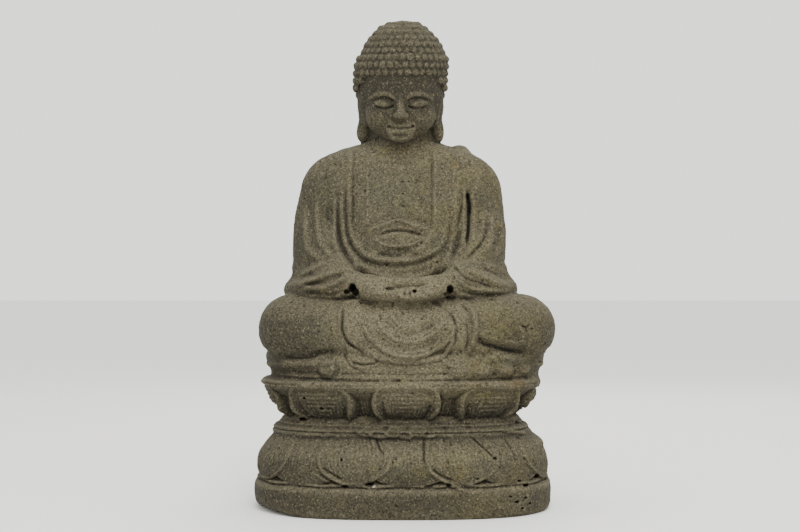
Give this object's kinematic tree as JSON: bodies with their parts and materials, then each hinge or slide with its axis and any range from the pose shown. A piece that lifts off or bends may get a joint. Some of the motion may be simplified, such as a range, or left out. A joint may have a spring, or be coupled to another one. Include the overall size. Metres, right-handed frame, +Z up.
{
  "type": "seated buddha statue",
  "caption": "Seated buddha in a draped robe, hands in the lap, on a double lotus seat, cast as one solid stone statue that stands by its own weight.",
  "frame": {"origin": "middle of the underside of the lotus base, at the centre of the statue's plan box", "axes": "+Z up, the figure looks along -Y, +X towards the figure's own left hand"},
  "size_m": [0.2449, 0.1764, 0.4001],
  "materials": {
    "cast_stone": "unpolished cast volcanic sand, speckled and pitted"
  },
  "bodies": {
    "root": {"buddha_statue": "cast_stone"}
  },
  "joints": []
}
